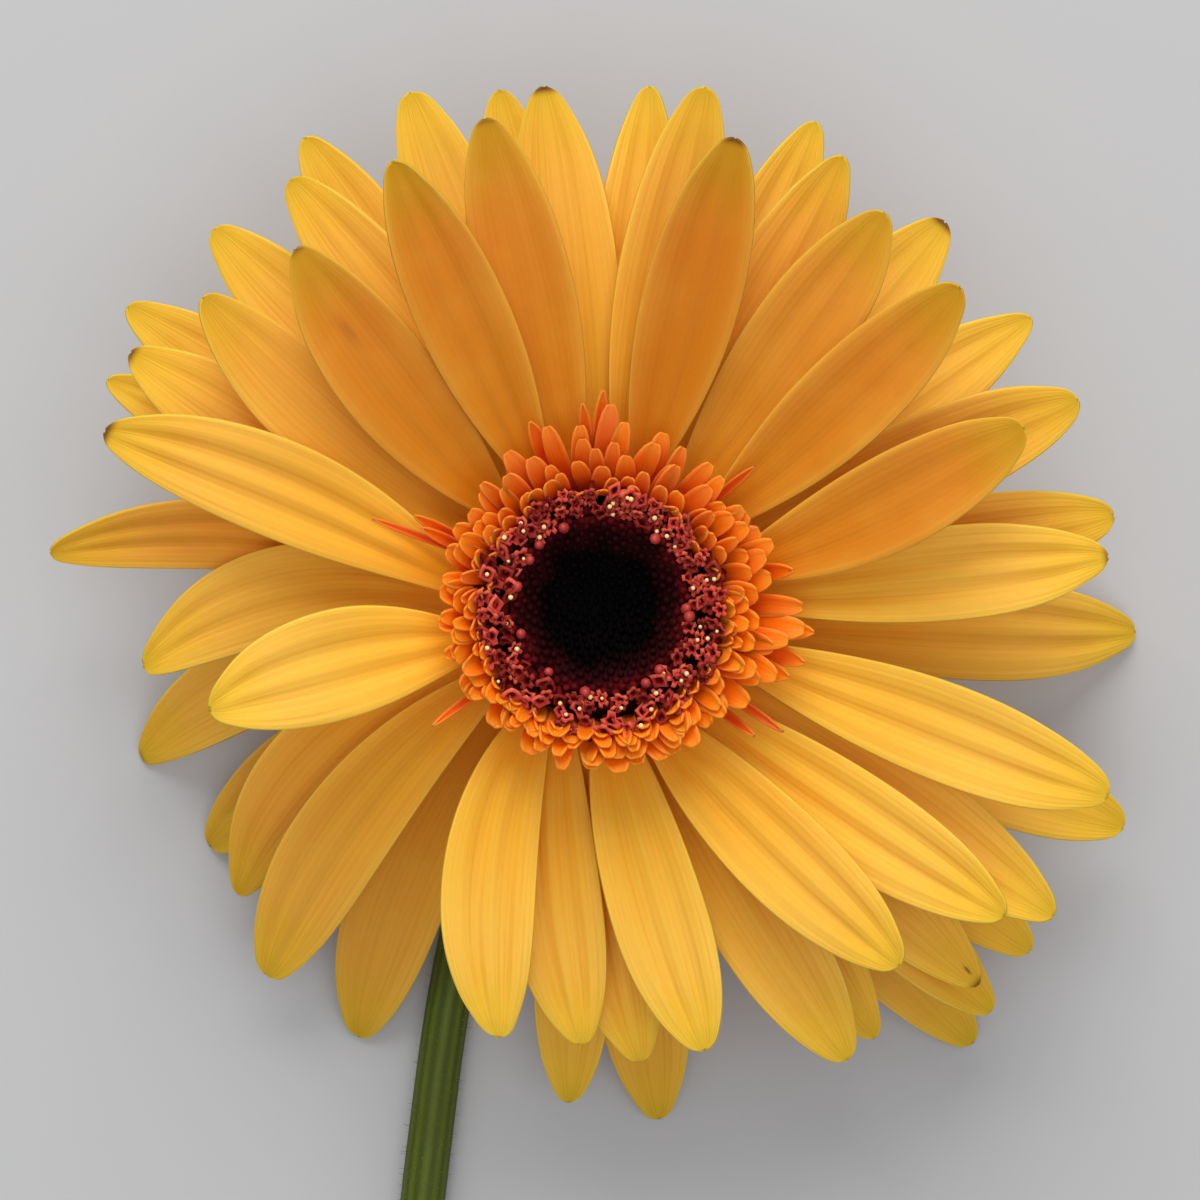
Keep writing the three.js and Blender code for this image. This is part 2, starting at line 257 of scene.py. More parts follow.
def make_veins():
    """Fine lines that run the length of a petal. Line is 0 in a vein and 1 between two."""
    group, given, put = new_group(
        "petal veins",
        [("Surface", "NodeSocketVector", None), ("Count", "NodeSocketFloat", 14.0),
         ("Wander", "NodeSocketFloat", 0.02)],
        [("Line", "NodeSocketFloat"), ("Streak", "NodeSocketFloat")],
    )
    stretch = add_node(group, "ShaderNodeMapping")
    stretch.inputs["Scale"].default_value = (2.2, 5.0, 1.0)
    group.links.new(given.outputs["Surface"], stretch.inputs["Vector"])
    drift = add_node(group, "ShaderNodeTexNoise", noise_dimensions="2D")
    drift.inputs["Scale"].default_value = 1.6
    drift.inputs["Detail"].default_value = 2.0
    group.links.new(stretch.outputs["Vector"], drift.inputs["Vector"])
    parts = add_node(group, "ShaderNodeSeparateXYZ")
    group.links.new(given.outputs["Surface"], parts.inputs[0])
    bent = maths(group, "MULTIPLY_ADD", maths(group, "SUBTRACT", drift.outputs["Fac"], 0.5),
                 given.outputs["Wander"], parts.outputs["Y"])
    turns = maths(group, "MULTIPLY", maths(group, "MULTIPLY", bent, given.outputs["Count"]), FULL_TURN)
    wave = maths(group, "MULTIPLY_ADD", maths(group, "COSINE", turns), 0.5, 0.5)
    group.links.new(maths(group, "POWER", wave, 0.6), put.inputs["Line"])
    long_stretch = add_node(group, "ShaderNodeMapping")
    long_stretch.inputs["Scale"].default_value = (1.3, 26.0, 1.0)
    group.links.new(given.outputs["Surface"], long_stretch.inputs["Vector"])
    streak = add_node(group, "ShaderNodeTexNoise", noise_dimensions="2D")
    streak.inputs["Scale"].default_value = 1.5
    streak.inputs["Detail"].default_value = 3.0
    group.links.new(long_stretch.outputs["Vector"], streak.inputs["Vector"])
    group.links.new(streak.outputs["Fac"], put.inputs["Streak"])
    return group


def make_tissue():
    """The faint mottling and the grain of plant skin, by place. Scale is in spots to the millimetre."""
    group, given, put = new_group(
        "plant tissue",
        [("Place", "NodeSocketVector", None), ("Scale", "NodeSocketFloat", 1.0)],
        [("Mottle", "NodeSocketFloat"), ("Grain", "NodeSocketFloat")],
    )
    to_mm = maths(group, "MULTIPLY", given.outputs["Scale"], 1000.0)
    mottle = add_node(group, "ShaderNodeTexNoise")
    mottle.inputs["Detail"].default_value = 3.0
    group.links.new(given.outputs["Place"], mottle.inputs["Vector"])
    group.links.new(maths(group, "MULTIPLY", to_mm, 0.16), mottle.inputs["Scale"])
    grain = add_node(group, "ShaderNodeTexNoise")
    grain.inputs["Detail"].default_value = 2.0
    group.links.new(given.outputs["Place"], grain.inputs["Vector"])
    group.links.new(maths(group, "MULTIPLY", to_mm, 6.0), grain.inputs["Scale"])
    group.links.new(mottle.outputs["Fac"], put.inputs["Mottle"])
    group.links.new(grain.outputs["Fac"], put.inputs["Grain"])
    return group


VEINS = make_veins()
TISSUE = make_tissue()


def new_material(name, **constants):
    """A material and its shader, with the values that are the same all over set on the shader itself."""
    made = bpy.data.materials.new(name)
    made.use_nodes = True
    shader = made.node_tree.nodes["Principled BSDF"]
    for label, value in constants.items():
        shader.inputs[label.replace("_", " ")].default_value = value
    return made, made.node_tree, shader


def raise_surface(tree, shader, height, strength, distance):
    bump = add_node(tree, "ShaderNodeBump")
    bump.inputs["Strength"].default_value = strength
    bump.inputs["Distance"].default_value = distance
    tree.links.new(height, bump.inputs["Height"])
    tree.links.new(bump.outputs["Normal"], shader.inputs["Normal"])


def petal_material(name, along_stops, edge_colour, edge_share, deep_colour, deep_tip, veins, glow,
                   roughness, tip_highlight=0.0):
    """Plant tissue that follows a piece's own map: along it from foot to tip, and across it. The layer of
    shade and tone that each piece carries takes it towards the deep colour: on the ray petals and trans
    florets that is painted shade where their faces turn away from the lamp, along with tone that differs at
    random. A bruise turns it brown."""
    made, tree, shader = new_material(
        name, Subsurface_Weight=glow, Subsurface_Scale=1.4 * MM, Specular_IOR_Level=0.11,
    )
    shader.inputs["Subsurface Radius"].default_value = (1.0, 0.42, 0.1)
    surface = add_node(tree, "ShaderNodeUVMap", uv_map="surface").outputs["UV"]
    place = add_node(tree, "ShaderNodeTexCoord").outputs["Object"]
    parts = add_node(tree, "ShaderNodeSeparateXYZ")
    tree.links.new(surface, parts.inputs[0])
    fine = place_group(tree, VEINS, surface=surface, count=float(veins))
    tissue = place_group(tree, TISSUE, place=place, scale=1.0)
    from_middle = maths(tree, "ABSOLUTE", maths(tree, "MULTIPLY_ADD", parts.outputs["Y"], 2.0, -1.0))
    wander = maths(tree, "MULTIPLY_ADD", fine.outputs["Streak"], 0.22, -0.11)
    along = maths(tree, "ADD", parts.outputs["X"], maths(tree, "MULTIPLY", wander, 0.8))
    colour = ramp(tree, along, along_stops)
    # Painted highlight: on the trans florets the pale rim along the edges, and at the tip, stands in for
    # light caught there; on the other pieces the rim is a paler edge.
    rim = maths(tree, "POWER", maths(tree, "MINIMUM", from_middle, 1.0), 5.0)
    if tip_highlight:
        end = maths(tree, "MULTIPLY", maths(tree, "POWER", parts.outputs["X"], 18.0), tip_highlight)
        rim = maths(tree, "MAXIMUM", rim, end)
    # Painted shade: the layer of shade and tone pulls the colour towards the deep colour.
    shade_and_tone = add_node(tree, "ShaderNodeAttribute", attribute_name="shade_and_tone").outputs["Fac"]
    deep = ramp(tree, along, [(0.72, deep_colour), (1.0, deep_tip)])
    colour = blend_colours(tree, shade_and_tone, colour, deep)
    colour = blend_colours(tree, maths(tree, "MULTIPLY", rim, edge_share), colour, edge_colour)
    lines = maths(tree, "SUBTRACT", 1.0, fine.outputs["Line"])
    colour = blend_colours(tree, maths(tree, "MULTIPLY", lines, 0.08), colour, deep_colour)
    streaks = maths(tree, "MULTIPLY", maths(tree, "MAXIMUM", maths(
        tree, "MULTIPLY_ADD", fine.outputs["Streak"], 2.2, -1.0), 0.0), 0.28)
    colour = blend_colours(tree, streaks, colour, deep_colour)
    spots = maths(tree, "MAXIMUM", maths(tree, "MULTIPLY_ADD", tissue.outputs["Mottle"], 1.6, -0.75), 0.0)
    colour = blend_colours(tree, maths(tree, "MULTIPLY", spots, 0.16), colour, edge_colour)
    bruise = add_node(tree, "ShaderNodeAttribute", attribute_name="bruise").outputs["Fac"]
    colour = blend_colours(tree, bruise, colour, paint(92, 52, 16))
    tree.links.new(colour, shader.inputs["Base Color"])
    tree.links.new(maths(tree, "MULTIPLY_ADD", tissue.outputs["Mottle"], 0.2, roughness - 0.1),
                   shader.inputs["Roughness"])
    height = maths(tree, "MULTIPLY_ADD", fine.outputs["Line"], 0.8, maths(
        tree, "MULTIPLY", tissue.outputs["Grain"], 0.35))
    raise_surface(tree, shader, height, 0.24, 0.07 * MM)
    return made


# Ray petals: the deep colour, (192, 104, 0) to (178, 132, 8), is painted shade for petals whose faces turn
# from the lamp or that lie in shadow; the veins and streaks take it too.
RAY = petal_material(
    "golden ray petal",
    [(0.0, paint(242, 124, 8)), (0.12, paint(253, 164, 28)), (0.3, paint(255, 182, 52)),
     (0.76, paint(253, 190, 72)), (0.92, paint(241, 188, 56)), (1.0, paint(212, 176, 38))],
    paint(255, 212, 88), 0.26, paint(192, 104, 0), paint(178, 132, 8), 15, 0.42, 0.52,
)
# Trans florets: darker and redder towards the foot, partly their own colour and partly painted shade deep in
# the ring; their pale rims and tips are a painted highlight.
TRANS = petal_material(
    "orange trans floret",
    [(0.0, paint(140, 26, 2)), (0.5, paint(226, 74, 4)), (0.78, paint(255, 112, 6)),
     (1.0, paint(255, 138, 18))],
    paint(255, 160, 80), 0.24, paint(208, 80, 18), paint(224, 106, 34), 5, 0.45, 0.36, 0.35,
)
CORAL = petal_material(
    "coral open floret",
    [(0.0, paint(48, 6, 6)), (0.5, paint(130, 20, 18)), (0.75, paint(214, 62, 50)),
     (1.0, paint(244, 104, 80))],
    paint(244, 104, 80), 0.0, paint(104, 14, 12), paint(120, 20, 18), 3, 0.2, 0.42,
)
BRACT = petal_material(
    "green bract",
    [(0.0, paint(120, 142, 70)), (0.5, paint(96, 120, 50)), (0.85, paint(84, 104, 44)),
     (1.0, paint(112, 84, 50))],
    paint(158, 168, 104), 0.7, paint(66, 88, 32), paint(84, 66, 40), 5, 0.1, 0.6,
)


def bud_material():
    """Unopened buds: near black at the middle of the eye, partly their own colour and partly painted shade in
    the deep dish; maroon towards its rim, and dark again past it.
    """
    made, tree, shader = new_material("dark florets in bud", Roughness=0.7, Specular_IOR_Level=0.03)
    place = add_node(tree, "ShaderNodeTexCoord").outputs["Object"]
    centred = add_node(tree, "ShaderNodeMapping", vector_type="POINT")
    centred.inputs["Location"].default_value = (-AXIS.x, -AXIS.y, 0)
    centred.inputs["Scale"].default_value = (1, 1, 0)
    tree.links.new(place, centred.inputs["Vector"])
    length = add_node(tree, "ShaderNodeVectorMath", operation="LENGTH")
    tree.links.new(centred.outputs["Vector"], length.inputs[0])
    tissue = place_group(tree, TISSUE, place=place, scale=2.5)
    share = maths(tree, "MULTIPLY_ADD", length.outputs["Value"], 92.0, maths(
        tree, "MULTIPLY_ADD", tissue.outputs["Mottle"], 0.3, -0.15))
    # Painted shade: the near-black middle is darkened for the deep dish as well as for the buds' own colour.
    colour = ramp(tree, share, [
        (0.0, paint(2, 1, 1)), (0.48, paint(5, 2, 2)), (0.68, paint(44, 8, 10)), (0.84, paint(104, 20, 24)),
        (0.93, paint(26, 4, 5)),
    ])
    tree.links.new(colour, shader.inputs["Base Color"])
    raise_surface(tree, shader, tissue.outputs["Grain"], 0.3, 0.03 * MM)
    return made


def stem_material():
    """Olive stem skin: paler ribs, darker furrows, browner and duller in patches."""
    made, tree, shader = new_material(
        "olive stem", Subsurface_Weight=0.08, Subsurface_Scale=1.0 * MM, Specular_IOR_Level=0.2,
    )
    place = add_node(tree, "ShaderNodeTexCoord").outputs["Object"]
    tissue = place_group(tree, TISSUE, place=place, scale=0.7)
    rib = add_node(tree, "ShaderNodeAttribute", attribute_name="rib").outputs["Fac"]
    colour = blend_colours(tree, rib, paint(60, 72, 12), paint(88, 102, 26))
    colour = blend_colours(tree, ramp(tree, tissue.outputs["Mottle"], [
        (0.42, (0, 0, 0, 1)), (0.75, (0.5, 0.5, 0.5, 1))]), colour, paint(72, 72, 14))
    speck = ramp(tree, tissue.outputs["Grain"], [(0.6, (0, 0, 0, 1)), (0.72, (0.35, 0.35, 0.35, 1))])
    colour = blend_colours(tree, speck, colour, paint(104, 116, 40))
    tree.links.new(colour, shader.inputs["Base Color"])
    tree.links.new(maths(tree, "MULTIPLY_ADD", tissue.outputs["Mottle"], 0.25, 0.38),
                   shader.inputs["Roughness"])
    raise_surface(tree, shader, tissue.outputs["Grain"], 0.3, 0.05 * MM)
    return made


def cut_material():
    """The pale, moist cut end, with a darker ring of vessels."""
    made, tree, shader = new_material(
        "cut stem end", Subsurface_Weight=0.3, Subsurface_Scale=1.0 * MM, Roughness=0.3,
    )
    place = add_node(tree, "ShaderNodeTexCoord").outputs["Object"]
    tissue = place_group(tree, TISSUE, place=place, scale=3.0)
    ring = add_node(tree, "ShaderNodeAttribute", attribute_name="rib").outputs["Fac"]
    colour = ramp(tree, maths(tree, "MULTIPLY_ADD", tissue.outputs["Mottle"], 0.12, ring), [
        (0.0, paint(176, 182, 128)), (0.45, paint(206, 212, 160)), (0.62, paint(150, 164, 92)),
        (0.8, paint(196, 204, 140)), (1.0, paint(112, 126, 56)),
    ])
    tree.links.new(colour, shader.inputs["Base Color"])
    raise_surface(tree, shader, tissue.outputs["Grain"], 0.4, 0.06 * MM)
    return made


def plain_material(name, colour, other, roughness, scale):
    """Two close colours that mottle into each other."""
    made, tree, shader = new_material(name, Roughness=roughness)
    place = add_node(tree, "ShaderNodeTexCoord").outputs["Object"]
    tissue = place_group(tree, TISSUE, place=place, scale=scale)
    tree.links.new(blend_colours(tree, tissue.outputs["Mottle"], colour, other),
                   shader.inputs["Base Color"])
    raise_surface(tree, shader, tissue.outputs["Grain"], 0.3, 0.03 * MM)
    return made


BUD = bud_material()
STEM = stem_material()
CUT_END = cut_material()
CORAL_BUD = plain_material("coral floret in bud", paint(150, 30, 28), paint(206, 70, 58), 0.5, 1.5)
POLLEN = plain_material("pollen", paint(244, 206, 120), paint(250, 228, 170), 0.7, 4.0)
HAIR = plain_material("stem hair", paint(140, 148, 92), paint(116, 126, 66), 0.6, 1.0)
PAPPUS = plain_material("pappus bristle", paint(214, 200, 160), paint(232, 220, 188), 0.5, 1.0)


# ---------------------------------------------------------------- ray petals

# GROOVED petals have deep furrows. BROWN_TIPS says how brown a tip is. MARKS are brown creases: (across,
# along, width, length, strength). The last table is painted shade: how much deeper a petal's colour is
# painted where it lies in shade.
ROWS = 15
GRID_ALONG, GRID_ACROSS = 60, 18
GROOVED = (1, 27, 28, 29, 30, 34, 36, 38, 40, 41, 42, 45, 47, 49, 52, 53)
BROWN_TIPS = {1: 0.6, 7: 1.0, 11: 0.9, 14: 1.0, 16: 0.6, 21: 0.6, 25: 0.8, 27: 1.0, 31: 0.5, 46: 0.8}
MARKS = {21: (0.05, 0.74, 0.05, 0.04, 1.3), 46: (0.2, 0.955, 0.09, 0.009, 1.5)}
PAINTED_SHADE = {28: 0.42, 31: 0.2, 32: 0.45, 33: 0.35, 34: 0.25, 35: 0.42, 39: 0.25, 44: 0.15, 53: 0.12}


def petal_rows(node):
    """The middle, the sideways half and the fold of a solid petal, at even steps from claw to tip."""
    solid = merged(node)
    by_reach = sorted(solid.verts, key=lambda vert: (vert.co.xy - AXIS.xy).length)
    claw = sum((vert.co for vert in by_reach[:6]), Vector()) / 6
    tip = sum((vert.co for vert in by_reach[-6:]), Vector()) / 6
    forward = (tip - claw).normalized()
    side, lift = side_and_lift(forward)
    skin = BVHTree.FromBMesh(solid)
    rows = []
    for step in range(ROWS):
        ring = cut_through(solid, claw.lerp(tip, 0.01 + 0.98 * step / (ROWS - 1)), forward)
        ring.sort(key=lambda co: co.dot(side))
        right = (ring[0] + ring[1]) / 2
        left = (ring[-1] + ring[-2]) / 2
        middle = (left + right) / 2
        above = skin.ray_cast(middle + lift * WELL_CLEAR, -lift)[0]
        below = skin.ray_cast(middle - lift * WELL_CLEAR, lift)[0]
        crease = (above + below) / 2 if above and below else middle
        rows.append([middle, (left - right) / 2, crease - middle])
    solid.free()
    for _ in range(2):
        rows = [rows[0]] + [
            [(a + b * 2 + c) / 4 for a, b, c in zip(rows[i - 1], rows[i], rows[i + 1])]
            for i in range(1, ROWS - 1)
        ] + [rows[-1]]
    return rows


def between(rows, share, column):
    """A smooth value at a share of the way along evenly spaced rows."""
    at = min(max(share, 0), 1) * (len(rows) - 1)
    i = min(int(at), len(rows) - 2)
    part = at - i
    a, b, c, d = (rows[min(max(k, 0), len(rows) - 1)][column] for k in (i - 1, i, i + 1, i + 2))
    return 0.5 * (b * 2 + (c - a) * part + (a * 2 - b * 5 + c * 4 - d) * part ** 2
                  + (b * 3 - a - c * 3 + d) * part ** 3)


def outline(share, widest_at, point, swell):
    """Where a row of a ray petal stands along it, and its half width by its widest: a narrow claw, a long
    blade and a rounded tip, with the rows closer together as the tip closes. A low swell broadens the
    foot."""
    if share < 0.5:
        along = share * 2 * widest_at
        return along, math.hypot(0.2 * (1 - share * 2) ** 1.5, math.sin(math.pi * share) ** swell)
    turn = math.pi * (share - 0.5)
    return widest_at + (1 - widest_at) * math.sin(turn) ** 0.95, max(math.cos(turn), 0) ** (2 / point)


def grow_ray_petal(node):
    """One petal on a fine grid that follows its solid, with a habit of its own."""
    rows = petal_rows(node)
    habit = random.Random(node)
    number = int(node[-2:])
    widest = max(row[1].length for row in rows) * habit.uniform(1.0, 1.05)
    widest_at = habit.uniform(0.55, 0.64)
    point = habit.uniform(1.5, 1.95)
    groove = (habit.uniform(0.3, 0.45) if number in GROOVED else habit.uniform(0.08, 0.18)) * MM
    groove_shift = habit.uniform(-0.1, 0.1)
    ruffle = habit.uniform(0.1, 0.35) * MM
    waves = habit.uniform(1.1, 2.1)
    phase = habit.uniform(0, NEARLY_FULL_TURN)
    lean = habit.uniform(-0.5, 0.5)
    brown = BROWN_TIPS.get(number, habit.choice((0, 0, 0, 0.15)))
    length = (rows[-1][0] - rows[0][0]).length
    slope = (rows[-1][0] - rows[0][0]).z / length
    backward = (rows[-1][0] - AXIS).xy.normalized().y
    swell = mix(0.88, 0.5, smooth(0.3, 0.95, -backward))
    # Painted shade: petals on the lamp's side that rise, so that their faces turn away from it, get a deeper
    # colour, and the listed shaded ones more; a little of it is random tone.
    depth = 0.92 * smooth(0.05, 0.4, slope) * smooth(-0.1, 0.4, backward) + habit.uniform(-0.05, 0.12)
    depth += PAINTED_SHADE.get(number, 0)

    blade = bmesh.new()
    surface = blade.loops.layers.uv.new("surface")
    bruise = blade.verts.layers.float.new("bruise")
    shade_and_tone = blade.verts.layers.float.new("shade_and_tone")
    bmesh.ops.create_grid(blade, x_segments=GRID_ALONG, y_segments=GRID_ACROSS, size=1)
    for vert in blade.verts:
        share, across = (vert.co.x + 1) / 2, vert.co.y
        along, narrow = outline(share, widest_at, point, swell)
        half = widest * max(narrow, 0.03)
        for loop in vert.link_loops:
            loop[surface].uv = (along, (across + 1) / 2)
        middle, sideways, crease = (between(rows, along, column) for column in range(3))
        ahead = between(rows, min(along + 0.02, 1), 0) - between(rows, max(along - 0.02, 0), 0)
        ahead.normalize()
        sideways = sideways.normalized()
        lift = ahead.cross(sideways)
        body = smooth(0.06, 0.3, along) * (1 - smooth(0.82, 1.0, along))
        height = crease.dot(lift) * (1 - abs(across) ** 1.6) * (1 - smooth(0.85, 1, along) * 0.4)
        height += groove * body * math.cos(3 * math.pi * (across + groove_shift)) * (1 - across ** 2)
        height += ruffle * smooth(0.2, 0.6, along) * abs(across) ** 3 * math.sin(
            math.pi * waves * 2 * along + phase + (1.3 if across > 0 else 0)) * min(narrow * 2, 1)
        sway = 0.5 * lean * MM * (math.sin(math.pi * along) + smooth(0.8, 1, along))
        root = 0.8 * MM * (1 - smooth(0, 0.06, along))
        vert.co = middle + sideways * (half * across + sway) + lift * height - ahead * root
        mark = smooth(0.982 - 0.012 * brown, 0.999, along)
        if number in MARKS:
            aside, up_at, wide, tall, strength = MARKS[number]
            mark += math.exp(-((across - aside) / wide) ** 2 - ((along - up_at) / tall) ** 2) * strength
        vert[bruise] = min(brown * mark, 0.9)
        vert[shade_and_tone] = min(max(depth, 0), 1)
    piece = finish_piece(blade, node.replace("ray_petal", "petal"), [RAY], [node])
    thicken(piece, PETAL_WALL)


for petal_node in PETALS:
    grow_ray_petal(petal_node)


# ---------------------------------------------------------------- florets and bracts

TONGUE_ACROSS = 5


def start_strips():
    """An empty bmesh, with its map and its layer of painted shade and tone. The petal materials read them,
    and a bruise.
    """
    bm = bmesh.new()
    surface = bm.loops.layers.uv.new("surface")
    shade_and_tone = bm.verts.layers.float.new("shade_and_tone")
    bm.verts.layers.float.new("bruise")
    return bm, surface, shade_and_tone


def tongue(into, line, width, cup, hook, depth, habit, point, steps=9, waist=0.5, widest_at=0.7):
    """A small strap-shaped organ along a line of points. Its edges curl up by the cup, and its tip leans in
    by the hook. Under a point of 2 it ends sharp."""
    bm, surface, shade_and_tone = start_strips()
    bmesh.ops.create_grid(bm, x_segments=steps, y_segments=TONGUE_ACROSS, size=1)
    crook = habit.uniform(-0.2, 0.2)
    roll = habit.uniform(-0.35, 0.35)
    for vert in bm.verts:
        share, across = (vert.co.x + 1) / 2, vert.co.y
        if share < 0.45:
            along = share / 0.45 * widest_at
            half = mix(waist, 1, smooth(0, 0.45, share))
        else:
            turn = math.pi / 2 * (share - 0.45) / 0.55
            along = widest_at + (1 - widest_at) * math.sin(turn)
            half = max(math.cos(turn), 0.0) ** (2 / point)
        half = width / 2 * max(half, 0.3 if point > 2 else 0.12)
        for loop in vert.link_loops:
            loop[surface].uv = (along, (across + 1) / 2)
        here = line(along)
        ahead = (line(along + 0.04) - line(along - 0.04)).normalized()
        sideways = UP.cross(Vector((here.x - AXIS.x, here.y - AXIS.y, 0))).normalized()
        inner = ahead.cross(sideways)
        turned = sideways * math.cos(roll) + inner * math.sin(roll)
        inner = inner * math.cos(roll) - sideways * math.sin(roll)
        aside = half * across + crook * width * along ** 2
        curl = cup * (across ** 2 - 0.4) * smooth(0.1, 0.6, along) + hook * smooth(0.6, 1, along) ** 2
        vert.co = here + turned * aside + inner * curl
        vert[shade_and_tone] = depth
    pour(into, bm)


def rising_line(azimuth, foot, tip, bulge, swing, flare=1.0):
    """A curve near an azimuth from foot to tip, both (radius, height), that bows outwards by the bulge. With
    a flare over 1 it starts upright and leans outwards later."""
    def at(share):
        kept = min(max(share, 0), 1)
        out = kept ** flare + (share - kept) * flare
        up = 1 - (1 - kept) ** flare + (share - kept) * 0.5
        radius = mix(foot[0], tip[0], out) + bulge * math.sin(math.pi * kept)
        return polar(radius, azimuth + swing * share, mix(foot[1], tip[1], up))
    return at


def splay(azimuth):
    """How far a side of the head has opened: most on the right, a little at the back."""
    turn = math.degrees(azimuth) % 360
    right = max(0.0, 1 - abs((turn - 345 + 180) % 360 - 180) / 40)
    back = max(0.0, 1 - abs(turn - 95) / 12)
    return right + 0.7 * back


def grow_trans_florets(name, node, tiers, seed):
    """Tiers of short orange florets. Each is (count, share of the ring's width, tip height, width)."""
    habit = random.Random(seed)
    bm = start_strips()[0]
    inner_edge = open_reach * 0.965
    for count, share, top, width in tiers:
        start = habit.uniform(0, NEARLY_FULL_TURN)
        for i in range(count):
            azimuth = start + FULL_TURN * (i + habit.uniform(-0.42, 0.42)) / count
            facing = math.sin(azimuth)
            opened = splay(azimuth) * habit.uniform(0.1, 1) * share ** 2
            near = inner_edge - 0.9 * MM * facing
            inward = share ** mix(1, 2.2, max(facing, 0))
            edge = outer_reach + (0.7 * facing - 0.9 * max(-math.cos(azimuth), 0) ** 2) * MM
            out = mix(near, edge, inward) + habit.uniform(-0.8, 0.8) * MM + opened * 4.2 * MM
            rise = top - (0.7 * facing + 0.5) * share * MM + habit.uniform(-0.5, 0.4) * MM
            rise -= opened * 1.8 * MM
            foot = mix(near * 0.9, inner_edge * 0.93, share) - (0.2 - 0.2 * facing) * MM
            height = mix(4.8, 6.6, share ** 2) * MM
            line = rising_line(azimuth, (foot, rise - height), (out, rise), habit.uniform(-0.2, 0.3) * MM,
                               habit.uniform(-0.07, 0.07), mix(1.1, 1.6, share))
            # Painted shade: florets on the lamp's side, whose faces turn away from it, get a deeper colour;
            # it also deepens towards the inner rows and varies at random.
            depth = min(max(0.42 + 0.4 * facing - 0.3 * share + habit.uniform(-0.25, 0.25), 0), 1)
            slim = mix(1.0, 0.82, max(facing, 0))
            cup = habit.uniform(0.1, 0.4) * mix(1, 0.6, max(facing, 0)) * MM
            tongue(bm, line, width * slim * habit.uniform(0.75, 1.25), cup,
                   (0.5 - 0.45 * facing) * habit.uniform(0.4, 1.1) * MM, depth, habit, point=3.0)
    piece = finish_piece(bm, name, [TRANS], [node])
    thicken(piece, TRANS_WALL)


outer_reach, _, outer_top = reach_of("trans_florets_outer")
_, _, inner_top = reach_of("trans_florets_inner")
open_reach, _, open_top = reach_of("disc_florets_open")
grow_trans_florets("trans_florets_outer_rows", "trans_florets_outer", [
    (46, 1.0, outer_top - 0.9 * MM, 2.5 * MM), (46, 0.84, outer_top - 0.3 * MM, 2.3 * MM),
], 11)
grow_trans_florets("trans_florets_inner_rows", "trans_florets_inner", [
    (46, 0.62, inner_top - 0.5 * MM, 2.1 * MM), (44, 0.4, inner_top - 0.5 * MM, 1.9 * MM),
    (36, 0.22, inner_top - 0.9 * MM, 1.6 * MM),
], 23)


def grow_slender_florets():
    """The few trans florets that stand out beyond the ring, and the dark slivers between the ray petals. Each
    is (azimuth in degrees, reach in mm, width in mm, how deep its colour is)."""
    habit = random.Random(41)
    bm = start_strips()[0]
    stray = [(91, 21.2, 1.6, 0.3), (94, 20.0, 1.3, 0.4), (110, 19.4, 1.7, 0.3), (155, 20.4, 1.2, 0.2),
             (158, 19.2, 1.1, 0.3), (215, 20.4, 0.8, 0.4), (43, 20.4, 0.9, 0.6), (325, 22.0, 1.0, 0.9),
             (318, 20.0, 1.0, 0.9), (159, 24.0, 0.7, 0.6), (12, 19.4, 1.8, 0.2), (352, 21.3, 2.3, 0.1),
             (346, 21.0, 2.4, 0.2), (338, 20.0, 2.4, 0.1)]
    for turn, reach, width, depth in stray:
        azimuth = math.radians(turn)
        line = rising_line(azimuth, (outer_reach * 0.72, FOOT + 0.5 * MM), (reach * MM, FOOT + 4.4 * MM),
                           habit.uniform(-0.5, 0.5) * MM, habit.uniform(-0.04, 0.04))
        tongue(bm, line, width * MM, 0.3 * MM, 0, depth, habit, steps=12, waist=0.6, widest_at=0.6,
               point=1.6)
    piece = finish_piece(bm, "slender_florets", [TRANS], [])
    thicken(piece, TRANS_WALL)


grow_slender_florets()


def trumpet(into, place, lobes, habit):
    """A small tube that flares into rounded lobes and curls back at their ends."""
    bm, surface, shade_and_tone = start_strips()
    ring = bmesh.ops.create_circle(bm, segments=lobes * 3, radius=0.3)["verts"]
    bmesh.ops.translate(bm, verts=ring, vec=(0, 0, -3.0))
    depth = habit.choice((0, 0.1, 0.3, 0.6, 0.8, 0.95))
    split = habit.uniform(0.5, 0.8)
    shape = [(ring, 0)]
    for wide, up, along in ((0.32, -0.9, 0.3), (0.4, -0.15, 0.55), (0.84, 0.28, 0.9), (1.1, -0.02, 1.0)):
        ring = extrude_ring(bm, ring)
        for vert in ring:
            angle = math.atan2(vert.co.y, vert.co.x)
            notch = max(-math.cos(lobes * angle), 0) if along > 0.6 else 0
            out = wide * (1 - split * notch * (along - 0.45) * 1.6)
            vert.co = Vector((math.cos(angle) * out, math.sin(angle) * out, up - 0.25 * notch * along))
        shape.append((ring, along))
    for ring, along in shape:
        for vert in ring:
            vert[shade_and_tone] = depth
            for loop in vert.link_loops:
                loop[surface].uv = (along, 0.5)
    bmesh.ops.transform(bm, verts=bm.verts, matrix=place)
    pour(into, bm)


